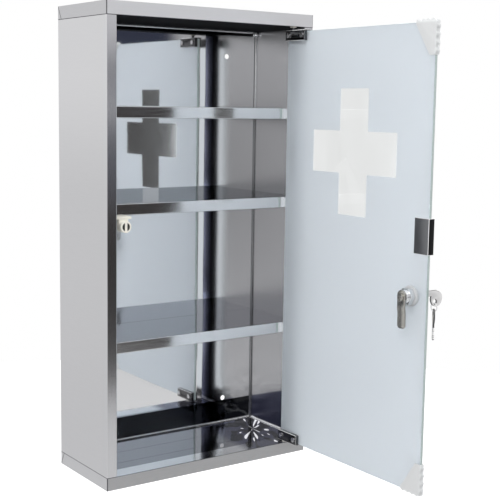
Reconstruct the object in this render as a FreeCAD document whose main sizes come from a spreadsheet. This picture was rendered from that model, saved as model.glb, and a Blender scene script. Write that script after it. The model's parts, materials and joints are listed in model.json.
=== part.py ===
import FreeCAD, Part
import os
import re
import Sketcher

# A wall-hung medicine cabinet with a frosted glass door on pivot hinges, shown with the door open.
# X runs to the right, Y into the wall and Z up. The origin is the centre of the face on the wall.
# Sizes are in millimetres. A "drop" is measured down from the thing above, a "rise" up from the thing below.
SIZES = {
    "width": 310,
    "depth": 130,
    "height": 600,
    "sheet_metal": 0.8,
    "cap_rim": 16.5,
    "jamb": 13.8,
    "jamb_return": 16,
    "fold_radius": 1,
    "wall_hole_radius": 3.5,
    "wall_hole_inset": 51,
    "wall_hole_margin": 53,
    "shelf_setback": 24,
    "shelf_lip": 14.8,
    "shelf_hem": 10,
    "shelf_upper_drop": 107.2,
    "shelf_middle_drop": 120.2,
    "shelf_lower_rise": 165,
    "glass_thickness": 4,
    "glass_gap_low": 2.7,
    "glass_gap_high": 6.3,
    "glass_gap_free": 2.4,
    "frost": 0.2,
    "cross_span": 159,
    "cross_arm": 53.5,
    "cross_drop": 160.68,
    "hinge_gap": 4.5,
    "door_angle": 90,
    "pin_radius": 2,
    "pin_inset": 11,
    "pin_setback": 1,
    "pin_reach": 7,
    "running_clearance": 0.05,
    "bush_wall": 1.2,
    "bush_length": 8,
    "bush_flange_radius": 4.1,
    "bush_flange_top": 1.2,
    "clamp_length": 40,
    "clamp_height": 14,
    "clamp_bridge": 1.5,
    "clamp_inner": 5,
    "clamp_outer": 2.5,
    "clamp_round": 0.8,
    "screw_first": 6.5,
    "screw_pitch": 28,
    "screw_shank_radius": 2,
    "screw_head_radius": 3.2,
    "screw_head": 1.4,
    "screw_slot": 0.9,
    "screw_slot_depth": 0.7,
    "guard_wall": 1.2,
    "guard_along": 31,
    "guard_down": 37.5,
    "guard_blunt": 3,
    "guard_foot": 8,
    "guard_scallop_radius": 4.5,
    "guard_crest_top": 2.6,
    "guard_crest_side": 0.9,
    "strike_sheet": 1,
    "strike_width": 24,
    "strike_outer": 13,
    "strike_height": 43,
    "strike_rise": 1.4,
    "pull_tab": 3.2,
    "catch_gap": 0.3,
    "catch_inset": 13.2,
    "catch_drop": 12.1,
    "catch_radius": 7.25,
    "catch_nose": 14,
    "catch_plate": 3,
    "catch_plate_width": 22,
    "catch_plate_depth": 22,
    "catch_neck_width": 13,
    "catch_neck_depth": 12,
    "pole_radius": 5.2,
    "pole_bar": 3.4,
    "pole_depth": 4,
    "lock_inset": 25,
    "lock_drop": 72.6,
    "lock_hole_radius": 8.6,
    "barrel_radius": 8.4,
    "barrel_reach": 14.5,
    "lock_head_radius": 11.5,
    "lock_head": 9,
    "plug_radius": 6,
    "plug_tail": 7,
    "washer_radius": 12.6,
    "washer": 3,
    "nut_radius": 10.6,
    "nut": 7,
    "cam_gap": 0.2,
    "cam_sheet": 2,
    "cam_width": 13,
    "cam_head": 8,
    "cam_length": 38,
    "cam_joggle": 1,
    "cam_bend_start": 14,
    "cam_bend_end": 21,
    "cam_round": 6,
    "cam_tip_round": 4,
    "cam_screw_radius": 4.6,
    "cam_screw_head": 2.2,
    "key_sheet": 2,
    "key_bow_radius": 9.5,
    "key_bow_out": 37,
    "key_bow_drop": 7,
    "key_blade": 7,
    "key_inserted": 14,
    "key_slot_clearance": 0.1,
    "key_hole_radius": 3.2,
    "key_hole_along": 2.7,
    "key_hole_drop": 3.6,
    "key_web": 1.8,
    "spare_blade": 19,
    "spare_twist": 50,
    "spare_hang": 2,
    "ring_radius": 5,
    "ring_wire_radius": 0.6,
    "ring_drop": 2.5,
}

doc = FreeCAD.newDocument("MedicineCabinet")
sheet = doc.addObject("Spreadsheet::Sheet", "Sizes")
for row, (alias, size) in enumerate(SIZES.items(), start=1):
    sheet.set(f"A{row}", alias.replace("_", " "))
    sheet.set(f"B{row}", str(size))
    sheet.setAlias(f"B{row}", alias)
doc.recompute()

RIGHT = FreeCAD.Vector(1, 0, 0)
INWARD = FreeCAD.Vector(0, 1, 0)
UP = FreeCAD.Vector(0, 0, 1)
ZERO = "(0 * depth)"
BASE = "(-height / 2)"
FLOOR = "(cap_rim - height / 2)"
CEILING = "(height / 2 - cap_rim)"
SHELF_FRONT = "(shelf_setback - depth)"
RETURN_END = "(jamb_return - depth)"
UPPER_SHELF = f"({CEILING} - shelf_upper_drop)"
MIDDLE_SHELF = f"({UPPER_SHELF} - shelf_middle_drop)"
LOWER_SHELF = f"({FLOOR} + shelf_lower_rise)"
MIDDLE_LIP = f"({MIDDLE_SHELF} - shelf_lip)"
CATCH_Z = f"({MIDDLE_LIP} - catch_drop)"
STRIKE_Z = f"({CATCH_Z} + strike_rise)"

# The door's pieces are drawn closed, in a frame whose Z axis is the hinge pins' axis.
PIVOT_X = "(width / 2 - jamb - hinge_gap - pin_inset)"
PIVOT_Y = "(glass_thickness + pin_setback - depth)"
GLASS_WIDTH = "(width - 2 * jamb - hinge_gap - glass_gap_free)"
GLASS_FREE = f"(pin_inset - {GLASS_WIDTH})"
GLASS_IN = "(-pin_setback)"
GLASS_OUT = "(-pin_setback - glass_thickness)"
GLASS_LOW = f"({FLOOR} + glass_gap_low)"
GLASS_HIGH = f"({CEILING} - glass_gap_high)"
GLASS_HEIGHT = f"({GLASS_HIGH} - {GLASS_LOW})"
LOCK_X = f"({GLASS_FREE} + lock_inset)"
LOCK_Z = f"({STRIKE_Z} - lock_drop)"
LOCK_FACE = f"({GLASS_OUT} - lock_head)"
BARREL_END = f"({GLASS_IN} + barrel_reach)"
CAM_IN = f"({BARREL_END} + cam_gap)"
CAM_OUT = f"({CAM_IN} + cam_sheet)"
BOW_Y = f"({GLASS_OUT} - key_bow_out)"
BOW_Z = f"({LOCK_Z} - key_bow_drop)"
RING_Y = f"({BOW_Y} + key_hole_along)"
SCALLOPS = 4
NUT_SIDES = 6
TOLERANCE = 1e-6
nodes = []


def formula(text):
    """The sheet expression for a text written in the sheet's own words."""
    return re.sub(r"[a-z][a-z_]+", lambda word: "Sizes." + word.group(0), text)


def number(text):
    """The present value of a text written in the sheet's own words."""
    value = sheet.evalExpression(formula(text))
    return float(value.Value if hasattr(value, "Value") else value)


def seat(item, place):
    """Bind the origin of an object to three expressions."""
    for axis, text in zip("xyz", place):
        item.setExpression("Placement.Base." + axis, formula(text))


def box(name, low, size):
    item = doc.addObject("Part::Box", name)
    for side, text in zip(("Length", "Width", "Height"), size):
        item.setExpression(side, formula(text))
    seat(item, low)
    return item


def rod(name, start, radius, length, direction=INWARD):
    item = doc.addObject("Part::Cylinder", name)
    item.Placement.Rotation = FreeCAD.Rotation(UP, direction)
    item.setExpression("Radius", formula(radius))
    item.setExpression("Height", formula(length))
    seat(item, start)
    return item


def fuse(name, pieces):
    item = doc.addObject("Part::MultiFuse", name)
    item.Shapes = pieces
    item.Refine = True
    return item


def cut(name, base, tools):
    item = doc.addObject("Part::Cut", name)
    item.Base = base
    item.Tool = tools[0] if len(tools) == 1 else fuse(name + "Tools", tools)
    item.Refine = True
    return item


def outline(body, role, loops):
    """A sketch of straight-sided loops, each corner held by two bound distances from the origin."""
    sketch = body.newObject("Sketcher::SketchObject", body.Name + "Outline")
    planes = [feature for feature in body.Origin.OriginFeatures if feature.Role == role]
    sketch.AttachmentSupport = (planes[0], "")
    sketch.MapMode = "FlatFace"
    for corners in loops:
        first = sketch.GeometryCount
        points = [FreeCAD.Vector(number(across), number(along), 0) for across, along in corners]
        last = first + len(corners) - 1
        for index, point in enumerate(points):
            sketch.addGeometry(Part.LineSegment(point, points[(index + 1) % len(points)]))
        for line in range(first, last + 1):
            after = first if line == last else line + 1
            sketch.addConstraint(Sketcher.Constraint("Coincident", line, 2, after, 1))
        for line, (corner, point) in enumerate(zip(corners, points), start=first):
            for kind, text, value in (("DistanceX", corner[0], point.x), ("DistanceY", corner[1], point.y)):
                held = sketch.addConstraint(Sketcher.Constraint(kind, -1, 1, line, 1, value))
                sketch.setExpression(f"Constraints[{held}]", formula(text))
    return sketch


def prism(name, role, loops, length, reverse=False):
    """A straight pad of one or more loops from one of the body's origin planes."""
    body = doc.addObject("PartDesign::Body", name)
    sketch = outline(body, role, loops)
    pad = body.newObject("PartDesign::Pad", name + "Pad")
    pad.Profile = sketch
    pad.Reversed = reverse
    pad.setExpression("Length", formula(length))
    sketch.Visibility = False
    doc.recompute()
    return body


def edges_along(shape, direction, test):
    """The numbers of a shape's straight edges that run one way and whose ends both pass a test."""
    found = []
    for index, edge in enumerate(shape.Edges, start=1):
        ends = [vertex.Point for vertex in edge.Vertexes]
        run = ends[-1] - ends[0]
        if run.Length > 0 and run.cross(direction).Length < TOLERANCE * run.Length and all(map(test, ends)):
            found.append(index)
    return found


def round_body(body, direction, test, radius):
    """Round the edges of a body's last feature that run one way and pass a test."""
    base = body.Tip
    feature = body.newObject("PartDesign::Fillet", body.Name + "Round")
    feature.Base = (base, [f"Edge{index}" for index in edges_along(base.Shape, direction, test)])
    feature.setExpression("Radius", formula(radius))
    body.Tip = feature
    doc.recompute()


def round_solid(name, base, direction, test, radius):
    """Round the edges of a plain solid that run one way and pass a test."""
    doc.recompute()
    item = doc.addObject("Part::Fillet", name)
    item.Base = base
    size = number(radius)
    item.Edges = [(index, size, size) for index in edges_along(base.Shape, direction, test)]
    return item


def near(value, text):
    return abs(value - number(text)) < TOLERANCE


def node(item, label):
    item.Label = label
    nodes.append(item)
    return item


def door_node(item, label, rise=ZERO):
    """A piece of the door: it is drawn closed about the pins' axis and swung open about it."""
    item.Placement.Rotation = FreeCAD.Rotation(UP, number("door_angle"))
    item.setExpression("Placement.Rotation.Angle", formula("door_angle"))
    seat(item, (PIVOT_X, PIVOT_Y, rise))
    return node(item, label)


def back_panel():
    plate = box("BackPlate", ("sheet_metal - width / 2", "-sheet_metal", FLOOR),
                ("width - 2 * sheet_metal", "sheet_metal", "height - 2 * cap_rim"))
    holes = []
    for side, across in (("Left", "wall_hole_inset - width / 2"), ("Right", "width / 2 - wall_hole_inset")):
        for level, rise in (("Low", "wall_hole_margin - height / 2"),
                            ("High", "height / 2 - wall_hole_margin")):
            holes.append(rod("WallHole" + level + side, (across, "-2 * sheet_metal", rise),
                             "wall_hole_radius", "3 * sheet_metal"))
    node(cut("BackPanel", plate, holes), "back_panel")


def side_panel(label, sign):
    """A side wall folded into a front jamb, with a return that the lock's cam can pass behind."""
    wall = f"{sign} * width / 2"
    inner = f"{sign} * (width / 2 - sheet_metal)"
    edge = f"{sign} * (width / 2 - jamb)"
    back_of_edge = f"{sign} * (width / 2 - jamb + sheet_metal)"
    corners = [(wall, ZERO), (wall, "-depth"), (edge, "-depth"), (edge, RETURN_END),
               (back_of_edge, RETURN_END), (back_of_edge, "sheet_metal - depth"),
               (inner, "sheet_metal - depth"), (inner, ZERO)]
    body = prism(label.title().replace("_", ""), "XY_Plane", [corners], "height - 2 * cap_rim")
    seat(body, (ZERO, ZERO, FLOOR))
    round_body(body, UP, lambda point: near(point.y, "-depth"), "fold_radius")
    node(body, label)


def cap(label, sign):
    """A folded tray that closes one end of the cabinet, its rim flush with the walls."""
    name = label.title().replace("_", "")
    high = sign > 0
    outside = box(name + "Outside", ("-width / 2", "-depth", CEILING if high else BASE),
                  ("width", "depth", "cap_rim"))
    inside = box(name + "Inside", ("sheet_metal - width / 2", "sheet_metal - depth",
                                   CEILING if high else f"{BASE} + sheet_metal"),
                 ("width - 2 * sheet_metal", "depth - 2 * sheet_metal", "cap_rim - sheet_metal"))
    tray = cut(name + "Tray", outside, [inside])

    def outer_edge(point):
        return near(point.y, "-depth") and near(abs(point.x), "width / 2")

    node(round_solid(name, tray, UP, outer_edge, "fold_radius"), label)


def inner_panel(label, low, hole_start):
    """The flat plate that closes a cap towards the inside, bored for a hinge bush."""
    name = label.title().replace("_", "")
    plate = box(name + "Plate", ("sheet_metal - width / 2", "sheet_metal - depth", low),
                ("width - 2 * sheet_metal", "depth - 2 * sheet_metal", "sheet_metal"))
    hole = rod(name + "Hole", (PIVOT_X, PIVOT_Y, hole_start), "pin_radius + running_clearance + bush_wall",
               "3 * sheet_metal", UP)
    node(cut(name, plate, [hole]), label)


def shelf(label, level):
    """A shelf folded down into a front lip with a hem."""
    lip_back = f"{SHELF_FRONT} + sheet_metal"
    hem_end = f"{SHELF_FRONT} + shelf_hem"
    hem_top = "sheet_metal - shelf_lip"
    corners = [("-sheet_metal", ZERO), ("-sheet_metal", "-sheet_metal"), (lip_back, "-sheet_metal"),
               (lip_back, hem_top), (hem_end, hem_top), (hem_end, "-shelf_lip"),
               (SHELF_FRONT, "-shelf_lip"), (SHELF_FRONT, ZERO)]
    body = prism(label.title().replace("_", ""), "YZ_Plane", [corners], "width - 2 * sheet_metal")
    seat(body, ("sheet_metal - width / 2", ZERO, level))
    round_body(body, RIGHT, lambda point: near(point.y, SHELF_FRONT), "fold_radius")
    node(body, label)


def pivot_bush(label, sign):
    """A flanged bush for one hinge pin, let into the floor or the ceiling."""
    name = label.title().replace("_", "")
    bore = "pin_radius + running_clearance"
    low = sign < 0
    face = FLOOR if low else CEILING
    flange = f"({GLASS_LOW} - clamp_bridge - {FLOOR})" if low else "bush_flange_top"
    sleeve = rod(name + "Sleeve", (PIVOT_X, PIVOT_Y, f"{face} - bush_length" if low else face),
                 f"{bore} + bush_wall", "bush_length", UP)
    collar = rod(name + "Collar", (PIVOT_X, PIVOT_Y, face if low else f"{face} - {flange}"),
                 "bush_flange_radius", flange, UP)
    hole = rod(name + "Bore", (PIVOT_X, PIVOT_Y, f"{face} - 2 * bush_length"), bore, "4 * bush_length", UP)
    node(cut(name, fuse(name + "Solid", [sleeve, collar]), [hole]), label)


def magnetic_catch():
    """A round magnet nose on a plate under the middle shelf, in line with the door's strike."""
    across = f"({PIVOT_X} + {GLASS_FREE} + catch_inset)"
    face = f"({PIVOT_Y} + {GLASS_IN} + strike_sheet + catch_gap)"
    nose = rod("CatchNose", (across, face, CATCH_Z), "catch_radius", "catch_nose")
    start = f"({SHELF_FRONT} + shelf_hem - catch_plate_depth)"
    plate = box("CatchPlate", (f"{across} - catch_plate_width / 2", start, f"{MIDDLE_LIP} - catch_plate"),
                ("catch_plate_width", "catch_plate_depth", "catch_plate"))
    neck = box("CatchNeck", (f"{across} - catch_neck_width / 2", start, CATCH_Z),
               ("catch_neck_width", "catch_neck_depth", "catch_drop - catch_plate"))
    poles = []
    for side in ("left", "right"):
        disc = rod("PoleDisc" + side, (across, face, CATCH_Z), "pole_radius", "pole_depth")
        flat = f"{across} - pole_bar / 2 - pole_radius" if side == "left" else f"{across} + pole_bar / 2"
        half = box("PoleHalf" + side, (flat, face, f"{CATCH_Z} - pole_radius"),
                   ("pole_radius", "pole_depth", "2 * pole_radius"))
        pole = doc.addObject("Part::Common", "CatchPole" + side.title())
        pole.Base = disc
        pole.Tool = half
        poles.append(node(pole, "catch_pole_" + side))
    node(cut("CatchBody", fuse("CatchSolid", [nose, plate, neck]), poles), "catch_body")


def door_glass():
    pane = box("Pane", (GLASS_FREE, GLASS_OUT, GLASS_LOW),
               (GLASS_WIDTH, "glass_thickness - frost", GLASS_HEIGHT))
    hole = rod("PaneLockHole", (LOCK_X, f"{GLASS_OUT} - frost", LOCK_Z), "lock_hole_radius",
               "2 * glass_thickness")
    door_node(cut("DoorGlass", pane, [hole]), "door_glass")


def frost_layer():
    """The frosted skin on the inner face of the pane, left clear over a plain cross."""
    pane = [(GLASS_FREE, GLASS_LOW), ("pin_inset", GLASS_LOW),
            ("pin_inset", GLASS_HIGH), (GLASS_FREE, GLASS_HIGH)]
    middle = f"(pin_inset - {GLASS_WIDTH} / 2)"
    rise = f"({CEILING} - cross_drop)"
    turns = ((1, 0), (0, 1), (-1, 0), (0, -1))
    cross = []
    for ahead, left in turns:
        for reach, offset in (("cross_span", -1), ("cross_span", 1), ("cross_arm", 1)):
            cross.append((f"{middle} + {ahead} * {reach} / 2 - {left * offset} * cross_arm / 2",
                          f"{rise} + {left} * {reach} / 2 + {ahead * offset} * cross_arm / 2"))
    skin = prism("FrostSkin", "XZ_Plane", [pane, cross], "frost")
    seat(skin, (ZERO, GLASS_IN, ZERO))
    hole = rod("FrostLockHole", (LOCK_X, GLASS_OUT, LOCK_Z), "lock_hole_radius", "2 * glass_thickness")
    door_node(cut("FrostLayer", skin, [hole]), "frost_layer")


def screw_seats(sign):
    """Where the two grub screws of a clamp stand, along the clamp and in height."""
    level = f"{GLASS_LOW} - clamp_bridge + clamp_height / 2"
    if sign > 0:
        level = f"{GLASS_HIGH} + clamp_bridge - clamp_height / 2"
    return [("pin_inset - screw_first", level), ("pin_inset - screw_first - screw_pitch", level)]


def hinge_clamp(end, sign):
    """A channel that grips the pane's corner, bored for two screws, and its pivot pin."""
    name = "HingeClamp" + end.title()
    glass_edge = GLASS_HIGH if sign > 0 else GLASS_LOW
    bridge = f"({glass_edge} + {sign} * clamp_bridge)"
    lip = f"({bridge} - {sign} * clamp_height)"
    near_side = f"({GLASS_IN} + clamp_inner)"
    far_side = f"({GLASS_OUT} - clamp_outer)"
    corners = [(far_side, bridge), (near_side, bridge), (near_side, lip), (GLASS_IN, lip),
               (GLASS_IN, glass_edge), (GLASS_OUT, glass_edge), (GLASS_OUT, lip), (far_side, lip)]
    channel = prism(name + "Channel", "YZ_Plane", [corners], "clamp_length")
    seat(channel, ("pin_inset - clamp_length", ZERO, ZERO))

    def outer_face(point):
        return near(point.y, near_side) or near(point.y, far_side)

    round_body(channel, RIGHT, outer_face, "clamp_round")
    holes = []
    for order, (across, rise) in enumerate(screw_seats(sign), start=1):
        holes.append(rod(f"{name}Hole{order}", (across, GLASS_IN, rise), "screw_shank_radius",
                         "2 * clamp_inner"))
    door_node(cut(name, channel, holes), "hinge_clamp_" + end)

    gap = f"(height / 2 - cap_rim - {bridge})" if sign > 0 else f"({bridge} - {FLOOR})"
    length = f"({gap} + pin_reach)"
    start = bridge if sign > 0 else f"{bridge} - {length}"
    pin = rod("PivotPin" + end.title(), (ZERO, ZERO, start), "pin_radius", length, UP)
    door_node(pin, "pivot_pin_" + end, start)


def clamp_screw(label, across, rise):
    name = label.title().replace("_", "")
    shank = rod(name + "Shank", (across, GLASS_IN, rise), "screw_shank_radius", "clamp_inner")
    face = f"({GLASS_IN} + clamp_inner)"
    head = rod(name + "Head", (across, face, rise), "screw_head_radius", "screw_head")
    slot = box(name + "Slot", (f"{across} - screw_head_radius", f"{face} + screw_head - screw_slot_depth",
                               f"{rise} - screw_slot / 2"),
               ("2 * screw_head_radius", "screw_head", "screw_slot"))
    door_node(cut(name, fuse(name + "Solid", [shank, head]), [slot]), label)


def corner_guard(end, sign):
    """A soft pocket over one free corner of the pane, scalloped along both of its outer edges."""
    name = "CornerGuard" + end.title()
    glass_edge = GLASS_HIGH if sign > 0 else GLASS_LOW
    crest = "guard_crest_top" if sign > 0 else "guard_crest_side"
    outer = f"({glass_edge} + {sign} * guard_wall)"
    tip = f"({glass_edge} - {sign} * guard_down)"
    corners = [(f"{GLASS_FREE} - guard_wall", outer), (f"{GLASS_FREE} + guard_along", outer),
               (f"{GLASS_FREE} + guard_along", f"{glass_edge} - {sign} * guard_blunt"),
               (f"{GLASS_FREE} + guard_foot", tip), (f"{GLASS_FREE} - guard_wall", tip)]
    thickness = "glass_thickness + 2 * guard_wall"
    block = prism(name + "Block", "XZ_Plane", [corners], thickness, reverse=True)
    seat(block, (ZERO, f"{GLASS_OUT} - guard_wall", ZERO))
    side_across = f"{GLASS_FREE} - guard_wall - guard_crest_side + guard_scallop_radius"
    end_level = f"{outer} + {sign} * ({crest} - guard_scallop_radius)"
    scallops = []
    for order in range(SCALLOPS):
        share = (order + 0.5) / SCALLOPS
        spots = {"End": (f"{GLASS_FREE} + {share} * guard_along", end_level),
                 "Side": (side_across, f"{glass_edge} - {sign} * {share} * guard_down")}
        for edge, (across, level) in spots.items():
            scallops.append(rod(f"{name}{edge}{order}", (across, f"{GLASS_OUT} - guard_wall", level),
                                "guard_scallop_radius", thickness))
    pane = box(name + "Pane", (GLASS_FREE, GLASS_OUT, GLASS_LOW),
               (GLASS_WIDTH, "glass_thickness", GLASS_HEIGHT))
    door_node(cut(name, fuse(name + "Solid", [block] + scallops), [pane]), "corner_guard_" + end)


def strike_clip():
    """A folded clip on the free edge: strike plate inside, pull tab outside."""
    edge = f"({GLASS_FREE} - strike_sheet)"
    inside = f"({GLASS_IN} + strike_sheet)"
    outside = f"({GLASS_OUT} - strike_sheet)"
    tab = f"({outside} - pull_tab)"
    outer_end = f"{edge} + strike_outer"
    inner_end = f"{edge} + strike_width"
    corners = [(edge, inside), (edge, tab), (GLASS_FREE, tab), (GLASS_FREE, outside),
               (outer_end, outside), (outer_end, GLASS_OUT), (GLASS_FREE, GLASS_OUT),
               (GLASS_FREE, GLASS_IN), (inner_end, GLASS_IN), (inner_end, inside)]
    clip = prism("StrikeClip", "XY_Plane", [corners], "strike_height")
    door_node(clip, "strike_clip", f"{STRIKE_Z} - strike_height / 2")


def lock_case():
    """The fixed part of the cam lock: barrel with its face ring, washer and nut."""
    barrel = rod("Barrel", (LOCK_X, GLASS_OUT, LOCK_Z), "barrel_radius", "glass_thickness + barrel_reach")
    head = rod("BarrelHead", (LOCK_X, LOCK_FACE, LOCK_Z), "lock_head_radius", "lock_head")
    bore = rod("BarrelBore", (LOCK_X, f"{LOCK_FACE} - lock_head", LOCK_Z),
               "plug_radius + running_clearance", "3 * lock_head + glass_thickness + barrel_reach")
    door_node(cut("LockBarrel", fuse("BarrelSolid", [barrel, head]), [bore]), "lock_barrel")

    ring = rod("WasherRing", (LOCK_X, GLASS_IN, LOCK_Z), "washer_radius", "washer")
    hole = rod("WasherHole", (LOCK_X, GLASS_OUT, LOCK_Z), "barrel_radius", "2 * glass_thickness")
    door_node(cut("LockWasher", ring, [hole]), "lock_washer")

    hexagon = doc.addObject("Part::Prism", "NutHexagon")
    hexagon.Polygon = NUT_SIDES
    hexagon.Placement.Rotation = FreeCAD.Rotation(UP, INWARD)
    hexagon.setExpression("Circumradius", formula("nut_radius"))
    hexagon.setExpression("Height", formula("nut"))
    seat(hexagon, (LOCK_X, f"{GLASS_IN} + washer", LOCK_Z))
    thread = rod("NutThread", (LOCK_X, GLASS_IN, LOCK_Z), "barrel_radius", "2 * nut")
    door_node(cut("LockNut", hexagon, [thread]), "lock_nut")


def lock_plug():
    """The turning part of the lock: plug with a square tail, cam and cam screw."""
    core = rod("PlugCore", (LOCK_X, LOCK_FACE, LOCK_Z), "plug_radius", f"{BARREL_END} - {LOCK_FACE}")
    tail = box("PlugTail", (f"{LOCK_X} - plug_tail / 2", BARREL_END, f"{LOCK_Z} - plug_tail / 2"),
               ("plug_tail", "cam_gap + cam_sheet", "plug_tail"))
    keyway = box("Keyway", (f"{LOCK_X} - key_sheet / 2 - key_slot_clearance", f"{LOCK_FACE} - lock_head",
                            f"{LOCK_Z} - key_blade / 2 - key_slot_clearance"),
                 ("key_sheet + 2 * key_slot_clearance", "lock_head + key_inserted + key_slot_clearance",
                  "key_blade + 2 * key_slot_clearance"))
    door_node(cut("LockPlug", fuse("PlugSolid", [core, tail]), [keyway]), "lock_plug")

    head_end = f"{LOCK_Z} + cam_head"
    tip_end = f"{LOCK_Z} - cam_length"
    bend_start = f"{LOCK_Z} - cam_bend_start"
    bend_end = f"{LOCK_Z} - cam_bend_end"
    tip_in = f"{CAM_IN} - cam_joggle"
    tip_out = f"{CAM_OUT} - cam_joggle"
    corners = [(CAM_IN, head_end), (CAM_OUT, head_end), (CAM_OUT, bend_start), (tip_out, bend_end),
               (tip_out, tip_end), (tip_in, tip_end), (tip_in, bend_end), (CAM_IN, bend_start)]
    plate = prism("CamPlate", "YZ_Plane", [corners], "cam_width")
    seat(plate, (f"{LOCK_X} - cam_width / 2", ZERO, ZERO))
    round_body(plate, INWARD, lambda point: near(point.z, head_end), "cam_round")
    round_body(plate, INWARD, lambda point: near(point.z, tip_end), "cam_tip_round")
    square = box("CamSquare", (f"{LOCK_X} - plug_tail / 2", GLASS_IN, f"{LOCK_Z} - plug_tail / 2"),
                 ("plug_tail", "2 * barrel_reach", "plug_tail"))
    door_node(cut("LockCam", plate, [square]), "lock_cam")

    head = rod("CamScrewHead", (LOCK_X, CAM_OUT, LOCK_Z), "cam_screw_radius", "cam_screw_head")
    slots = []
    for name, across, rise in (("Flat", "2 * cam_screw_radius", "screw_slot"),
                               ("Upright", "screw_slot", "2 * cam_screw_radius")):
        slots.append(box("CamScrewSlot" + name, (f"{LOCK_X} - {across} / 2",
                                                 f"{CAM_OUT} + cam_screw_head - screw_slot_depth",
                                                 f"{LOCK_Z} - {rise} / 2"),
                         (across, "cam_screw_head", rise)))
    door_node(cut("CamScrew", head, slots), "cam_screw")


def key_in_lock():
    """The key in the plug, its round bow hanging below the blade's axis."""
    half = "key_sheet / 2"
    bow = rod("KeyBow", (f"{LOCK_X} - {half}", BOW_Y, BOW_Z), "key_bow_radius", "key_sheet", RIGHT)
    blade = box("KeyBlade", (f"{LOCK_X} - {half}", BOW_Y, f"{LOCK_Z} - key_blade / 2"),
                ("key_sheet", f"{LOCK_FACE} + key_inserted - {BOW_Y}", "key_blade"))
    hole = rod("KeyHole", (f"{LOCK_X} - key_sheet", RING_Y, f"{BOW_Z} - key_hole_drop"), "key_hole_radius",
               "2 * key_sheet", RIGHT)
    door_node(cut("KeyInLock", fuse("KeySolid", [bow, blade]), [hole]), "key_in_lock")


def ring_height():
    """The height of the ring's centre: it hangs on the web of the bow below the hole."""
    rim = number("key_bow_radius") ** 2 - number("key_hole_along") ** 2
    web_low = -rim ** 0.5
    web_high = -number("key_hole_drop") - number("key_hole_radius")
    return number(BOW_Z) + (web_low + web_high) / 2 - number("ring_drop")


def spare_key():
    """A wire ring through the bow and a second key hanging on it, turned edge-on."""
    centre = FreeCAD.Vector(number(LOCK_X), number(RING_Y), ring_height())
    pivot = FreeCAD.Placement(FreeCAD.Vector(number(PIVOT_X), number(PIVOT_Y), 0),
                              FreeCAD.Rotation(UP, number("door_angle")))
    ring = doc.addObject("Part::Torus", "KeyRing")
    ring.setExpression("Radius1", formula("ring_radius"))
    ring.setExpression("Radius2", formula("ring_wire_radius"))
    ring.Placement = pivot.multiply(FreeCAD.Placement(centre, FreeCAD.Rotation(UP, INWARD)))
    node(ring, "key_ring")

    # Drawn about the centre of its hole, blade down, in the plane square to X.
    bow_drop = "(key_hole_radius + key_web - key_bow_radius)"
    bow = rod("SpareBow", ("-key_sheet / 2", ZERO, bow_drop), "key_bow_radius", "key_sheet", RIGHT)
    blade = box("SpareBlade", ("-key_sheet / 2", "-key_blade / 2",
                               f"{bow_drop} - key_bow_radius - spare_blade"),
                ("key_sheet", "key_blade", "key_bow_radius + spare_blade"))
    hole = rod("SpareHole", ("-key_sheet", ZERO, ZERO), "key_hole_radius", "2 * key_sheet", RIGHT)
    spare = cut("SpareKey", fuse("SpareSolid", [bow, blade]), [hole])
    hang = centre - UP * (number("ring_radius") + number("spare_hang"))
    spare.Placement = pivot.multiply(FreeCAD.Placement(hang, FreeCAD.Rotation(UP, number("spare_twist"))))
    node(spare, "spare_key")


def build():
    back_panel()
    side_panel("side_left", -1)
    side_panel("side_right", 1)
    cap("top_cap", 1)
    cap("base_cap", -1)
    inner_panel("ceiling_panel", CEILING, f"{CEILING} - sheet_metal")
    inner_panel("floor_panel", f"{FLOOR} - sheet_metal", f"{FLOOR} - 2 * sheet_metal")
    shelf("shelf_upper", UPPER_SHELF)
    shelf("shelf_middle", MIDDLE_SHELF)
    shelf("shelf_lower", LOWER_SHELF)
    magnetic_catch()
    door_glass()
    frost_layer()
    for end, sign in (("top", 1), ("bottom", -1)):
        pivot_bush(f"pivot_bush_{end}", sign)
        hinge_clamp(end, sign)
        corner_guard(end, sign)
        for order, (across, rise) in zip(("inner", "outer"), screw_seats(sign)):
            clamp_screw(f"clamp_screw_{end}_{order}", across, rise)
    strike_clip()
    lock_case()
    lock_plug()
    key_in_lock()
    spare_key()


def write_parts():
    """Check every object, then write one file per piece."""
    doc.recompute()
    for item in doc.Objects:
        if "Invalid" in item.State or "Error" in item.State:
            raise RuntimeError(f"{item.Name} failed: {item.State}")
    for item in nodes:
        if item.Shape.isNull() or not item.Shape.isValid() or len(item.Shape.Solids) != 1:
            raise RuntimeError(f"{item.Label} is not one sound solid")
    os.makedirs("parts", exist_ok=True)
    for item in nodes:
        item.Shape.exportStep(f"parts/{item.Label}.step")
        bounds = item.Shape.BoundBox
        print(f"{item.Label}: {item.Shape.Volume:.1f} mm3, x {bounds.XMin:.2f} {bounds.XMax:.2f}, "
              f"y {bounds.YMin:.2f} {bounds.YMax:.2f}, z {bounds.ZMin:.2f} {bounds.ZMax:.2f}")


build()
write_parts()
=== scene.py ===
# %% [markdown]
# # A steel medicine cabinet with a frosted glass door
# The real thing hangs on a wall: a box of thin stainless sheet, bright inside and brushed outside,
# with a glass door that swings on two pins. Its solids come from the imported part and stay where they
# are. This lesson gives them their finishes, rebuilds the pieces that glass and wear make special,
# and lights them as a small product studio would.

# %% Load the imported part
import json
import math

import bmesh
import bpy
from mathutils import Matrix, Vector


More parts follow.
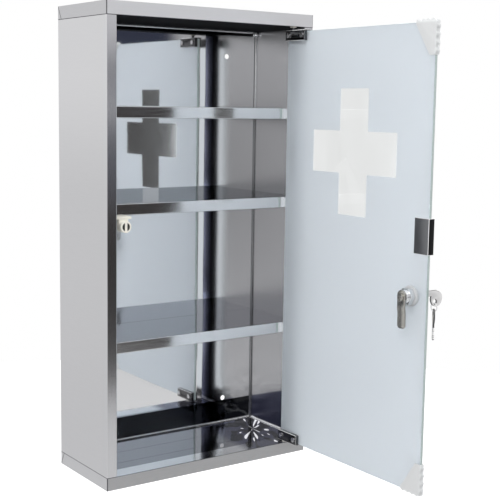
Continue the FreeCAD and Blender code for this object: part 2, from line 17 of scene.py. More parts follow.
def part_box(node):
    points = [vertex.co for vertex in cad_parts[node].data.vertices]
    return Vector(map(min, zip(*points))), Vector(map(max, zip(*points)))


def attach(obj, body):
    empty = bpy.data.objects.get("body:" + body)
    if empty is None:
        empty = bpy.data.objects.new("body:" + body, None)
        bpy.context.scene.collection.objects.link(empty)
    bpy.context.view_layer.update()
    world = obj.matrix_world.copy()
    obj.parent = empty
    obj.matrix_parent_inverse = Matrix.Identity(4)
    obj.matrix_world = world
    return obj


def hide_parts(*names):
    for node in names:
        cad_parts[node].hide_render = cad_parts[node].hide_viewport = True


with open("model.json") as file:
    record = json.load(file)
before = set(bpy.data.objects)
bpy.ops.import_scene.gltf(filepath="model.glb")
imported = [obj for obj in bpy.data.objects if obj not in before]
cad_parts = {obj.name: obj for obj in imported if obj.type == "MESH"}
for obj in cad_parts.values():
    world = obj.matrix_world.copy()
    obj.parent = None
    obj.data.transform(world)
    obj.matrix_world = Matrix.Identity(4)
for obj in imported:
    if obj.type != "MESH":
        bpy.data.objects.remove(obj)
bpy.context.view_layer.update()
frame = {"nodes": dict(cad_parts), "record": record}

MM = 0.001

# %% [markdown]
# A material is a small graph, so a few short helpers keep the graphs readable. `add` makes a node and
# fills its sockets, either with a plain value or with a link. `new_group` opens a shader group with
# named sockets, `use_group` places one, and `new_finish` opens a material whose Principled shader waits
# for its values.

# %% Helpers for node graphs
def add(tree, kind, inputs=None, **settings):
    made = tree.nodes.new(kind)
    for name, value in settings.items():
        setattr(made, name, value)
    for name, value in (inputs or {}).items():
        if isinstance(value, bpy.types.NodeSocket):
            tree.links.new(value, made.inputs[name])
        else:
            made.inputs[name].default_value = value
    return made


def math_node(tree, operation, first, second=0.0):
    return add(tree, "ShaderNodeMath", {0: first, 1: second}, operation=operation).outputs[0]


def new_group(name, inputs, outputs):
    group = bpy.data.node_groups.new(name, "ShaderNodeTree")
    for socket, kind, value in inputs:
        group.interface.new_socket(socket, in_out="INPUT", socket_type=kind).default_value = value
    for socket, kind in outputs:
        group.interface.new_socket(socket, in_out="OUTPUT", socket_type=kind)
    return group, group.nodes.new("NodeGroupInput").outputs, group.nodes.new("NodeGroupOutput").inputs


def use_group(tree, group, inputs):
    return add(tree, "ShaderNodeGroup", inputs, node_tree=group).outputs


def new_finish(name, **values):
    finish = bpy.data.materials.new(name)
    finish.use_nodes = True
    tree = finish.node_tree
    shader = tree.nodes["Principled BSDF"]
    for socket, value in values.items():
        shader.inputs[socket.replace("_", " ").title().replace("Ior", "IOR")].default_value = value
    return finish, tree, shader


print("node helpers: add, math_node, new_group, use_group, new_finish")

# %% [markdown]
# Brushed steel carries thousands of fine scratches that run one way. Stretching a noise along that way
# gives the same streaks for a fraction of the work of real scratches. The group hands out a roughness
# that wanders between two limits and a height for a gentle bump, so each sheet can set its own.

# %% Brushed grain
VECTOR, FLOAT = "NodeSocketVector", "NodeSocketFloat"

brushed_grain, put_in, put_out = new_group(
    "Brushed grain",
    [("Stretch", VECTOR, (900.0, 900.0, 40.0)), ("Low", FLOAT, 0.2), ("High", FLOAT, 0.35)],
    [("Roughness", FLOAT), ("Height", FLOAT)])
place = add(brushed_grain, "ShaderNodeTexCoord").outputs["Object"]
streaks = add(brushed_grain, "ShaderNodeVectorMath", {0: place, 1: put_in["Stretch"]}, operation="MULTIPLY")
scratch = add(brushed_grain, "ShaderNodeTexNoise",
              {"Vector": streaks.outputs[0], "Scale": 1.0, "Detail": 3.0, "Roughness": 0.65})
spread = add(brushed_grain, "ShaderNodeMapRange",
             {"Value": scratch.outputs["Fac"], "From Min": 0.3, "From Max": 0.7,
              "To Min": put_in["Low"], "To Max": put_in["High"]})
brushed_grain.links.new(spread.outputs["Result"], put_out["Roughness"])
brushed_grain.links.new(scratch.outputs["Fac"], put_out["Height"])
print("group:", brushed_grain.name)

# %% [markdown]
# Thin polished sheet is never quite flat: welding and folding leave slow ripples that bend what it
# mirrors. A slow noise stands for them. Near one weld at the back of the floor the sheet is drawn in
# hard, so the group also takes a point and adds a tight pucker that fades with the distance from it.

# %% Sheet ripple
PUCKER_HEIGHT = 7.0

sheet_ripple, put_in, put_out = new_group(
    "Sheet ripple",
    [("Scale", FLOAT, 5.0), ("Pucker", VECTOR, (0.0, 0.0, 0.0)), ("Reach", FLOAT, 0.001)],
    [("Height", FLOAT)])
place = add(sheet_ripple, "ShaderNodeTexCoord").outputs["Object"]
slow = add(sheet_ripple, "ShaderNodeTexNoise",
           {"Vector": place, "Scale": put_in["Scale"], "Detail": 1.0, "Roughness": 0.4})
away = add(sheet_ripple, "ShaderNodeVectorMath", {0: place, 1: put_in["Pucker"]}, operation="DISTANCE")
near = add(sheet_ripple, "ShaderNodeMapRange",
           {"Value": away.outputs["Value"], "From Min": 0.0, "From Max": put_in["Reach"],
            "To Min": 1.0, "To Max": 0.0}, interpolation_type="SMOOTHSTEP")
tight = add(sheet_ripple, "ShaderNodeTexNoise",
            {"Vector": place, "Scale": 45.0, "Detail": 1.0, "Roughness": 0.5})
raised = math_node(sheet_ripple, "MULTIPLY", near.outputs["Result"], PUCKER_HEIGHT)
pucker = math_node(sheet_ripple, "MULTIPLY", raised, tight.outputs["Fac"])
sheet_ripple.links.new(math_node(sheet_ripple, "ADD", slow.outputs["Fac"], pucker), put_out["Height"])
print("group:", sheet_ripple.name)

# %% [markdown]
# Seams show as thin dark lines where two sheets meet. A line on a flat sheet is all points at one
# distance along a direction, so a dot product, an offset and a width make a mask for any straight seam.

# %% Seam line
seam_line, put_in, put_out = new_group(
    "Seam line",
    [("Direction", VECTOR, (0.0, 0.0, 1.0)), ("Offset", FLOAT, 0.0), ("Half Width", FLOAT, 0.0004)],
    [("Mask", FLOAT)])
place = add(seam_line, "ShaderNodeTexCoord").outputs["Object"]
along = add(seam_line, "ShaderNodeVectorMath", {0: place, 1: put_in["Direction"]}, operation="DOT_PRODUCT")
past = math_node(seam_line, "SUBTRACT", along.outputs["Value"], put_in["Offset"])
apart = math_node(seam_line, "ABSOLUTE", past)
seam_line.links.new(math_node(seam_line, "LESS_THAN", apart, put_in["Half Width"]), put_out["Mask"])
print("group:", seam_line.name)

# %% [markdown]
# Near the back right corner of the floor the weld has drawn the sheet into a star of creases. Each crease
# mirrors something else, a lamp or the dark. A noise that changes quickly with the angle round the middle
# of the star and slowly outwards, cut at two heights, gives such glints and shadows. A second noise of the
# angle alone says how far each crease reaches.

# %% Crease star
OUTWARD_SCALE = 40.0
LENGTH_SLICE = 3.7
GLINT_LEVEL, SHADOW_LEVEL = 0.61, 0.53

crease_star, put_in, put_out = new_group(
    "Crease star",
    [("Centre", VECTOR, (0.0, 0.0, 0.0)), ("Turn", VECTOR, (0.0, 0.0, math.radians(58.0))),
     ("Stretch", VECTOR, (2.6, 1.0, 1.0)), ("Creases", FLOAT, 2.1), ("Reach", FLOAT, 0.062)],
    [("Bright", FLOAT), ("Dark", FLOAT)])
place = add(crease_star, "ShaderNodeTexCoord").outputs["Object"]
away = add(crease_star, "ShaderNodeMapping", {"Vector": place, "Location": put_in["Centre"],
                                              "Rotation": put_in["Turn"], "Scale": put_in["Stretch"]},
           vector_type="TEXTURE").outputs["Vector"]
sides = add(crease_star, "ShaderNodeSeparateXYZ", {"Vector": away}).outputs
angle = math_node(crease_star, "ARCTAN2", sides["Y"], sides["X"])
angle = math_node(crease_star, "MULTIPLY", angle, put_in["Creases"])
radius = add(crease_star, "ShaderNodeVectorMath", {0: away}, operation="LENGTH").outputs["Value"]
outward = math_node(crease_star, "MULTIPLY", radius, OUTWARD_SCALE)
spread = add(crease_star, "ShaderNodeCombineXYZ", {"X": angle, "Y": outward}).outputs["Vector"]
folds = add(crease_star, "ShaderNodeTexNoise", {"Vector": spread, "Scale": 1.0, "Detail": 1.0})
turned = add(crease_star, "ShaderNodeCombineXYZ", {"X": angle, "Z": LENGTH_SLICE}).outputs["Vector"]
lengths = add(crease_star, "ShaderNodeTexNoise", {"Vector": turned, "Scale": 0.8, "Detail": 0.0})
reach = math_node(crease_star, "MULTIPLY", lengths.outputs["Fac"], put_in["Reach"])
within = math_node(crease_star, "LESS_THAN", radius, reach)
for name, operation, level in (("Bright", "GREATER_THAN", GLINT_LEVEL), ("Dark", "LESS_THAN", SHADOW_LEVEL)):
    cut = math_node(crease_star, operation, folds.outputs["Fac"], level)
    crease_star.links.new(math_node(crease_star, "MULTIPLY", cut, within), put_out[name])
print("group:", crease_star.name)

# %% [markdown]
# Most finishes here are one metal with different tones in different places. A mask is 1 where a tone
# belongs and 0 elsewhere. Small helpers make masks from Object coordinates, and `layered` lays tones over
# each other through them, like stencils. `first_seen` is the mask for what the eye meets before any
# mirror. Painted textures would do too, but masks made from sizes stay sharp and follow the part.

# %% Helpers for finishes
BLACK, WHITE = (0.0, 0.0, 0.0, 1.0), (1.0, 1.0, 1.0, 1.0)
finishes = {}


def object_axes(tree):
    place = add(tree, "ShaderNodeTexCoord").outputs["Object"]
    return add(tree, "ShaderNodeSeparateXYZ", {"Vector": place}).outputs


def above(tree, value, limit):
    return math_node(tree, "GREATER_THAN", value, limit)


def below(tree, value, limit):
    return math_node(tree, "LESS_THAN", value, limit)


def both(tree, first, second):
    return math_node(tree, "MULTIPLY", first, second)


def either(tree, first, second):
    return math_node(tree, "MAXIMUM", first, second)


def smooth_step(tree, value, start, end):
    return add(tree, "ShaderNodeMapRange", {"Value": value, "From Min": start, "From Max": end},
               interpolation_type="SMOOTHSTEP").outputs["Result"]


def first_seen(tree):
    return add(tree, "ShaderNodeLightPath").outputs["Is Camera Ray"]


def blended(tree, mask, first, second):
    return add(tree, "ShaderNodeMix", {"Factor": mask, "A": first, "B": second}).outputs["Result"]


def layered(tree, colour, layers):
    """Lay tones over a base colour, each through its own mask."""
    for mask, tone in layers:
        colour = add(tree, "ShaderNodeMix", {"Factor": mask, "A": colour, "B": (*tone, 1.0)},
                     data_type="RGBA").outputs["Result"]
    return colour


def steel_shader(name, colour):
    return new_finish(name, base_color=(*colour, 1.0), metallic=1.0)


def bump_into(tree, shader, height, strength, distance, lean=None):
    bump = add(tree, "ShaderNodeBump", {"Height": height, "Strength": strength, "Distance": distance})
    if lean:
        tree.links.new(lean, bump.inputs["Normal"])
    tree.links.new(bump.outputs["Normal"], shader.inputs["Normal"])


def keep(slot, finish):
    finishes[slot] = finish
    print("finish:", slot, "with", len(finish.node_tree.nodes), "nodes")


print("finish helpers ready, finishes so far:", len(finishes))

# %% [markdown]
# The shell's sheet is brushed on the outside and polished on the inside, and one solid has both. The
# outside is wherever the surface lies on the cabinet's outer planes, which Object coordinates tell.
# The front of a jamb is polished a little finer than the walls, as its reflections are sharper.

# %% Zones and grain of the shell
WALL_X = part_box("side_right")[1].x
FRONT_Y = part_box("side_right")[0].y
RIM_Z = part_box("top_cap")[0].z
CAP_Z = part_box("top_cap")[1].z
SKIN = 0.4 * MM
INSIDE_ROUGHNESS, JAMB_ROUGHNESS = 0.24, 0.13


def shell_zones(tree):
    """Masks for the outer walls, the caps' rims and the fronts of the jambs."""
    x, y, z = object_axes(tree)
    outer_wall = above(tree, math_node(tree, "ABSOLUTE", x), WALL_X - SKIN)
    rim = above(tree, math_node(tree, "ABSOLUTE", z), RIM_Z)
    return outer_wall, rim, below(tree, y, FRONT_Y + SKIN)


def shell_grain(tree, outer_wall, rim, jamb):
    """The roughness all over the shell, and the height of the scratches on its walls."""
    on_wall = use_group(tree, brushed_grain, {"Stretch": (900.0, 60.0, 900.0), "Low": 0.3, "High": 0.4})
    on_rim = use_group(tree, brushed_grain, {"Stretch": (60.0, 60.0, 900.0), "Low": 0.46, "High": 0.58})
    rough = blended(tree, jamb, INSIDE_ROUGHNESS, JAMB_ROUGHNESS)
    rough = blended(tree, outer_wall, rough, on_wall["Roughness"])
    return blended(tree, rim, rough, on_rim["Roughness"]), on_wall["Height"]


print("shell: walls at", round(WALL_X, 4), "front at", round(FRONT_Y, 4), "rims from", round(RIM_Z, 4))

# %% [markdown]
# Each cap is a tray folded from one sheet. A dark line shows where its rim meets the wall, another where
# the flap of its corner is folded over, and the front corners are darkest. They could be grooves in the
# mesh, but at a fraction of a millimetre a line in the finish looks the same and costs no faces.

# %% Seams of the shell
SEAM_HALF, FOLD_HALF = 0.45 * MM, 0.6 * MM
CORNER_WIDTH = 1.0 * MM
FOLD_RISE, FOLD_RUN = 9.0, 16.5
FOLD_LEAN = math.atan2(FOLD_RISE, FOLD_RUN)


def shell_seams(tree, rim):
    x, y, _ = object_axes(tree)
    to_corner = math_node(tree, "SUBTRACT", math_node(tree, "ABSOLUTE", x), y)
    dark = both(tree, above(tree, to_corner, WALL_X - FRONT_Y - CORNER_WIDTH), rim)
    for sign in (1.0, -1.0):
        seam = use_group(tree, seam_line, {"Offset": sign * RIM_Z, "Half Width": SEAM_HALF})
        across = (0.0, math.cos(FOLD_LEAN), -sign * math.sin(FOLD_LEAN))
        fold = use_group(tree, seam_line, {"Direction": across, "Offset": -math.sin(FOLD_LEAN) * CAP_Z,
                                           "Half Width": FOLD_HALF})
        dark = either(tree, either(tree, dark, seam["Mask"]), both(tree, fold["Mask"], rim))
    return dark


print("fold of the caps' corners:", round(math.degrees(FOLD_LEAN), 1), "degrees")

# %% [markdown]
# The sheet is one metal, yet it shows many tones, because each part of it mirrors something else, and these
# reflections are painted into its colour. The channel behind a jamb gathers light, painted in as a pale
# blue tone, the top of a wall gets a paler painted light and the front of the base a darker painted shade.
# The foot of the right wall mirrors the dark floor, so a painted dark reflection covers it where the eye
# meets it first.

# %% Tones and painted reflections of the shell
SATIN_COLOUR = (0.61, 0.61, 0.625)
SATIN_TOP_PAINTED_LIGHT = (0.72, 0.72, 0.735)
SATIN_BASE_PAINTED_SHADE = (0.47, 0.47, 0.475)
INSIDE_COLOUR = (0.61, 0.61, 0.62)
# Seams are dark joints; the same colour also paints the lines of shade inside.
SEAM_AND_SHADE_LINE_COLOUR = (0.12, 0.12, 0.13)
CHANNEL_PAINTED_LIGHT = (0.8, 0.82, 0.95)
PAINTED_DARK_REFLECTION = (0.13, 0.135, 0.19)
FOLD_DEPTH, FOLD_WIDTH = 16.0 * MM, 13.3 * MM
FOOT_RISE, FOOT_SOFT, FOOT_SLOPE = 31.0 * MM, 3.0 * MM, 0.32
WALL_TOP = (50.0 * MM, 220.0 * MM)


def shell_tones(tree, outer_wall, rim, jamb):
    x, y, z = object_axes(tree)
    outside = either(tree, either(tree, outer_wall, rim), jamb)
    in_fold = above(tree, math_node(tree, "ABSOLUTE", x), WALL_X - FOLD_WIDTH)
    channel = both(tree, below(tree, y, FRONT_Y + FOLD_DEPTH), in_fold)
    rim_front = both(tree, rim, jamb)
    wall = both(tree, outer_wall, math_node(tree, "SUBTRACT", 1.0, rim))
    top = either(tree, both(tree, wall, smooth_step(tree, z, *WALL_TOP)),
                 both(tree, rim_front, above(tree, z, 0.0)))
    base = both(tree, rim_front, below(tree, z, 0.0))
    height = math_node(tree, "ADD", z, math_node(tree, "MULTIPLY", y, FOOT_SLOPE))
    foot = smooth_step(tree, height, FOOT_RISE - RIM_Z + FOOT_SOFT, FOOT_RISE - RIM_Z)
    return layered(tree, (*INSIDE_COLOUR, 1.0),
                   ((both(tree, foot, first_seen(tree)), PAINTED_DARK_REFLECTION), (channel, CHANNEL_PAINTED_LIGHT),
                    (outside, SATIN_COLOUR), (top, SATIN_TOP_PAINTED_LIGHT), (base, SATIN_BASE_PAINTED_SHADE),
                    (shell_seams(tree, rim), SEAM_AND_SHADE_LINE_COLOUR)))


print("tones of the shell: 6, from", SEAM_AND_SHADE_LINE_COLOUR, "to", CHANNEL_PAINTED_LIGHT)

# %% [markdown]
# A long narrow jamb is never folded quite true. Its front leans back by one to three degrees, more above
# its middle than below, and that decides which part of the room it mirrors. Leaning the normal a little
# does the same as bending the sheet, and the solid stays straight.

# %% Satin steel of the shell
JAMB_LEAN, JAMB_LEAN_ABOVE = 0.015, 0.045
LEAN_GROWS = (-60.0 * MM, 90.0 * MM)
LEAN_EASES = (160.0 * MM, 230.0 * MM)
EASED_SHARE = 0.55


def jamb_normal(tree, jamb):
    z = object_axes(tree)["Z"]
    eased = math_node(tree, "MULTIPLY", smooth_step(tree, z, *LEAN_EASES), EASED_SHARE)
    grown = math_node(tree, "SUBTRACT", smooth_step(tree, z, *LEAN_GROWS), eased)
    lean = math_node(tree, "ADD", math_node(tree, "MULTIPLY", grown, JAMB_LEAN_ABOVE), JAMB_LEAN)
    upward = add(tree, "ShaderNodeCombineXYZ", {"Z": both(tree, jamb, lean)}).outputs["Vector"]
    facing = add(tree, "ShaderNodeNewGeometry").outputs["Normal"]
    leaning = add(tree, "ShaderNodeVectorMath", {0: facing, 1: upward}, operation="ADD").outputs[0]
    return add(tree, "ShaderNodeVectorMath", {0: leaning}, operation="NORMALIZE").outputs[0]


def make_steel_satin():
    finish, tree, shader = steel_shader("steel_satin", SATIN_COLOUR)
    outer_wall, rim, jamb = shell_zones(tree)
    rough, scratches = shell_grain(tree, outer_wall, rim, jamb)
    tree.links.new(rough, shader.inputs["Roughness"])
    tree.links.new(shell_tones(tree, outer_wall, rim, jamb), shader.inputs["Base Color"])
    bump_into(tree, shader, scratches, strength=0.05, distance=0.2 * MM, lean=jamb_normal(tree, jamb))
    return finish


keep("steel_satin", make_steel_satin())

# %% [markdown]
# The inside is polished to a mirror, with a satin front lip on the shelves. Lines of painted shade mark
# the gap behind each shelf and the two creases that stiffen the floor. The strips of the back next to the
# floor and the ceiling mirror their dark far sides, so a painted shade darkens them where the eye meets
# them first.

# %% Zones and lines of the inside
SHELF_FRONT_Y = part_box("shelf_upper")[0].y
FLOOR_CORNER = Vector((WALL_X, 0.0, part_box("floor_panel")[1].z))
BACK_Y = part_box("back_panel")[0].y
HAIR = 0.1 * MM
ACROSS = (0.0, 1.0, 0.0)
GAP_Y, GAP_HALF = -1.6 * MM, 0.6 * MM
FLOOR_CREASES, CREASE_HALF = (-45.0 * MM, -84.0 * MM), 0.5 * MM
LOW_STRIP, HIGH_STRIP = 33.0 * MM, 7.0 * MM


def inside_zones(tree):
    """Masks for the shelves' front lips, for what lies between them and the back, and for the floor."""
    _, y, z = object_axes(tree)
    lip = below(tree, y, SHELF_FRONT_Y + SKIN)
    shelf = math_node(tree, "SUBTRACT", below(tree, y, BACK_Y - HAIR), lip)
    return lip, shelf, below(tree, z, FLOOR_CORNER.z + SKIN)


# Painted shade in the gap behind each shelf and along the floor's two creases.
def painted_shade_lines(tree, tray):
    gap = use_group(tree, seam_line, {"Direction": ACROSS, "Offset": GAP_Y, "Half Width": GAP_HALF})
    dark = gap["Mask"]
    for line in FLOOR_CREASES:
        crease = use_group(tree, seam_line, {"Direction": ACROSS, "Offset": line, "Half Width": CREASE_HALF})
        dark = either(tree, dark, both(tree, crease["Mask"], tray))
    return dark


def back_strips(tree):
    _, y, z = object_axes(tree)
    ends = either(tree, below(tree, z, FLOOR_CORNER.z + LOW_STRIP),
                  above(tree, z, -FLOOR_CORNER.z - HIGH_STRIP))
    from_back = math_node(tree, "ABSOLUTE", math_node(tree, "SUBTRACT", y, BACK_Y))
    return both(tree, both(tree, ends, below(tree, from_back, HAIR)), first_seen(tree))


print("inside: back at", round(BACK_Y, 4), "floor at", round(FLOOR_CORNER.z, 4))

# %% [markdown]
# Mirrors are only as good as what they mirror, so the polished finish stays simple: low roughness and the
# slow ripple. The shelves and the floor get a darker copy of its colour, a painted shade. The far part of the
# floor mirrors the dark, so it gets a painted dark reflection, and the star of creases sparkles in it with
# painted glints and painted shadows: its glints get a faint glow, because the small lamps that they would
# catch are not in this room. A darker edge tint paints shade into what the tops of the shelves mirror at a
# low angle, most on the upper shelf.

# %% Polished steel of the inside
MIRROR_ROUGHNESS = 0.035
BRIGHT_COLOUR = (0.75, 0.755, 0.765)
# A darker copy of the bright sheet: painted shade on the shelves and the floor.
SHADED_STEEL_COLOUR = (0.38, 0.385, 0.395)
# Painted shade for the back's dark strips and the star's shadows.
PAINTED_SHADE_COLOUR = (0.045, 0.047, 0.05)
GLINT_COLOUR, GLINT_STRENGTH = (0.95, 0.95, 0.97), 0.5
# Edge tints that paint shade into what the shelves mirror at a low angle.
LOWER_SHELF_SHADE_TINT = (0.75, 0.75, 0.78)
UPPER_SHELF_SHADE_TINT = (0.25, 0.26, 0.28)
FAR_FLOOR = (50.0 * MM, 75.0 * MM)
STAR_CENTRE = (122.0 * MM, -52.0 * MM, FLOOR_CORNER.z)
PUCKER_REACH = 85.0 * MM


def make_steel_bright():
    finish, tree, shader = steel_shader("steel_bright", BRIGHT_COLOUR)
    x, _, z = object_axes(tree)
    lip, shelf, tray = inside_zones(tree)
    grain = use_group(tree, brushed_grain, {"Stretch": (25.0, 700.0, 700.0), "Low": 0.08, "High": 0.14})
    tree.links.new(blended(tree, lip, MIRROR_ROUGHNESS, grain["Roughness"]), shader.inputs["Roughness"])
    far_floor = both(tree, tray, smooth_step(tree, x, *FAR_FLOOR))
    star = use_group(tree, crease_star, {"Centre": STAR_CENTRE})
    seen_floor = both(tree, tray, first_seen(tree))
    glint = both(tree, seen_floor, star["Bright"])
    colour = layered(tree, (*BRIGHT_COLOUR, 1.0),
                     ((shelf, SHADED_STEEL_COLOUR), (far_floor, PAINTED_DARK_REFLECTION), (back_strips(tree), PAINTED_SHADE_COLOUR),
                      (painted_shade_lines(tree, tray), SEAM_AND_SHADE_LINE_COLOUR),
                      (both(tree, seen_floor, star["Dark"]), PAINTED_SHADE_COLOUR), (glint, GLINT_COLOUR)))
    tree.links.new(colour, shader.inputs["Base Color"])
    tree.links.new(layered(tree, BLACK, ((glint, GLINT_COLOUR),)), shader.inputs["Emission Color"])
    shader.inputs["Emission Strength"].default_value = GLINT_STRENGTH
    upper_shelf = both(tree, shelf, above(tree, z, 0.0))
    shelf_shade_tint = layered(tree, WHITE, ((shelf, LOWER_SHELF_SHADE_TINT), (upper_shelf, UPPER_SHELF_SHADE_TINT)))
    tree.links.new(shelf_shade_tint, shader.inputs["Specular Tint"])
    ripple = use_group(tree, sheet_ripple, {"Scale": 7.0, "Pucker": tuple(FLOOR_CORNER),
                                            "Reach": PUCKER_REACH})
    bump_into(tree, shader, ripple["Height"], strength=0.12, distance=4.0 * MM)
    return finish


keep("steel_bright", make_steel_bright())

# %% [markdown]
# The ceiling is only ever seen at a glancing angle, where it mirrors the unlit top of the cabinet and
# turns black. The layer weight knows that angle, so it paints that black in there as a flat near-black,
# a painted dark reflection. Facing the eye, it keeps the painted shade of the shelves.

# %% Painted dark reflection on the ceiling
CEILING_PAINTED_DARK = (0.03, 0.031, 0.034)


def make_ceiling_painted_dark():
    finish, tree, shader = new_finish("steel_dull", roughness=0.3, specular_ior_level=0.0)
    facing = add(tree, "ShaderNodeLayerWeight").outputs["Facing"]
    glance = add(tree, "ShaderNodeMapRange", {"Value": facing, "From Min": 0.6, "From Max": 0.85})
    glance = glance.outputs["Result"]
    tree.links.new(layered(tree, (*SHADED_STEEL_COLOUR, 1.0), ((glance, CEILING_PAINTED_DARK),)), shader.inputs["Base Color"])
    tree.links.new(math_node(tree, "SUBTRACT", 1.0, glance), shader.inputs["Metallic"])
    return finish


keep("steel_dull", make_ceiling_painted_dark())

# %% [markdown]
# Small plated parts differ in colour and gloss only, so one function makes them all. A fine grain keeps
# the plate from looking like liquid. Each row of the table is a colour and the limits of its roughness.

# %% Plated parts
PLATES = {
    # The hinge clamps' chrome is painted nearly black: a painted dark reflection of the room they face.
    "chrome_hinge": ((0.12, 0.12, 0.125), 0.06, 0.12),
    "chrome_screw": ((0.70, 0.70, 0.71), 0.1, 0.2),
    "chrome_lock": ((0.74, 0.75, 0.76), 0.08, 0.16),
    "zinc_cam": ((0.44, 0.43, 0.40), 0.16, 0.28),
    "nickel_key": ((0.88, 0.875, 0.87), 0.4, 0.5),
    # The strike's plate is painted dark grey: a painted shade of what it mirrors.
    "strike_steel": ((0.2, 0.205, 0.215), 0.3, 0.4),
    "pole_steel": ((0.06, 0.06, 0.055), 0.35, 0.5),
}


def make_plate(name, colour, low, high):
    finish, tree, shader = steel_shader(name, colour)
    grain = use_group(tree, brushed_grain, {"Stretch": (500.0, 500.0, 500.0), "Low": low, "High": high})
    tree.links.new(grain["Roughness"], shader.inputs["Roughness"])
    bump_into(tree, shader, grain["Height"], strength=0.04, distance=0.1 * MM)
    return finish


for name, row in PLATES.items():
    keep(name, make_plate(name, *row))

# %% [markdown]
# Plastics scatter light inside themselves. The catch is opaque nylon, the guards and the washer let light
# through, so these get some transmission and stay rough. A row is a colour, a roughness and how much light
# goes through.

# %% Plastics
PLASTICS = {
    "white_plastic": ((0.85, 0.83, 0.74), 0.42, 0.0),
    "soft_guard": ((0.97, 0.985, 0.985), 0.38, 0.35),
    "washer_plastic": ((0.88, 0.9, 0.91), 0.3, 0.4),
}


def make_plastic(name, colour, roughness, transmission):
    finish, tree, shader = new_finish(name, base_color=(*colour, 1.0), roughness=roughness,
                                      transmission_weight=transmission, ior=1.45)
    grain = use_group(tree, brushed_grain, {"Stretch": (700.0, 700.0, 700.0)})
    bump_into(tree, shader, grain["Height"], strength=0.05, distance=0.1 * MM)
    return finish


for name, row in PLASTICS.items():
    keep(name, make_plastic(name, *row))

# %% [markdown]
# Glass is clear through its faces and green through its edges, where light has a long way to travel. The
# edge has a ground surface of its own, so it is a second finish on the same pane, with a painted shade that
# darkens it where the eye meets it first. Deep in two mirrors the pane only shows the pale room, so a painted
# pale glow takes its place there. The frosting scatters what passes through it: part of the light goes
# through, part comes back, and none of it as an image.

# %% Glass and its frosting
CLEAR_COLOUR = (0.985, 0.995, 0.99, 1.0)
SHADOW_TINT = (0.97, 0.985, 0.98, 1.0)
DEEP_PANE_GLOW, DEEP_BOUNCES = (1.2, 1.26, 1.3, 1.0), 1.5
EDGE_COLOUR, EDGE_PAINTED_SHADE = (0.74, 0.87, 0.83, 1.0), (0.33, 0.39, 0.375)
FROST_COLOUR = (0.79, 0.825, 0.86, 1.0)


def let_shadow_rays_through(tree, shader, tint):
    """Light reaches what lies behind the pane, as it does through real glass."""
    shadow = add(tree, "ShaderNodeLightPath").outputs["Is Shadow Ray"]
    clear = add(tree, "ShaderNodeBsdfTransparent", {"Color": tint}).outputs["BSDF"]
    mixed = add(tree, "ShaderNodeMixShader", {0: shadow, 1: shader.outputs["BSDF"], 2: clear})
    return mixed.outputs["Shader"]


def make_glass_clear():
    finish, tree, shader = new_finish("glass_clear", base_color=CLEAR_COLOUR, transmission_weight=1.0,
                                      ior=1.5, roughness=0.0)
    surface = let_shadow_rays_through(tree, shader, SHADOW_TINT)
    deep = above(tree, add(tree, "ShaderNodeLightPath").outputs["Glossy Depth"], DEEP_BOUNCES)
    pale = add(tree, "ShaderNodeEmission", {"Color": DEEP_PANE_GLOW}).outputs["Emission"]
    mixed = add(tree, "ShaderNodeMixShader", {0: deep, 1: surface, 2: pale})
    tree.links.new(mixed.outputs["Shader"], tree.nodes["Material Output"].inputs["Surface"])
    return finish


def make_glass_edge():
    finish, tree, shader = new_finish("glass_edge", transmission_weight=0.3, ior=1.5)
    colour = layered(tree, EDGE_COLOUR, ((first_seen(tree), EDGE_PAINTED_SHADE),))
    tree.links.new(colour, shader.inputs["Base Color"])
    grain = use_group(tree, brushed_grain, {"Stretch": (800.0, 800.0, 800.0), "Low": 0.25, "High": 0.4})
    tree.links.new(grain["Roughness"], shader.inputs["Roughness"])
    return finish


def make_glass_frosted():
    finish, tree, shader = new_finish("glass_frosted", base_color=FROST_COLOUR, transmission_weight=0.72,
                                      ior=1.3)
    grain = use_group(tree, brushed_grain, {"Stretch": (1500.0, 1500.0, 1500.0), "Low": 0.75, "High": 0.95})
    tree.links.new(grain["Roughness"], shader.inputs["Roughness"])
    return finish


keep("glass_clear", make_glass_clear())
keep("glass_frosted", make_glass_frosted())

# %% [markdown]
# The part's own record names a finish for every solid, so one loop hands them out. Doing it by the record
# and not by hand means that no solid is forgotten.

# %% Give every solid its finish
for entry in frame["record"]["subparts"]:
    solid = frame["nodes"][entry["node"]].data
    solid.materials.clear()
    solid.materials.append(finishes[entry["material_slot"]])

# %% [markdown]
# Two faces in exactly one plane confuse a renderer that follows light through glass. So the pane and its
# frosting are rebuilt here a hair apart, at the same size: the pane with polished bevels all round, the
# frosting as one thin skin with the cross cut out. Copies of the solids with merged corners are enough.

# %% The pane and its frosting
PANE_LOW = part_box("door_glass")[0]
PANE_BEVEL = 0.5 * MM
FROST_GAP = 0.05 * MM
SAME_POINT, SAME_PLANE = 0.002 * MM, 0.01 * MM
FLAT_ANGLE, SMOOTH_ANGLE, HARD_ANGLE = math.radians(1.0), math.radians(30.0), math.radians(35.0)
FACE_ON_GLASS = 0.99


def new_piece(name, mesh):
    for side in mesh.polygons:
        side.use_smooth = True
    mesh.set_sharp_from_angle(angle=SMOOTH_ANGLE)
    piece = bpy.data.objects.new(name, mesh)
    bpy.context.scene.collection.objects.link(piece)
    return piece


def mesh_from(shape, name):
    mesh = bpy.data.meshes.new(name)
    shape.to_mesh(mesh)
    shape.free()
    return mesh


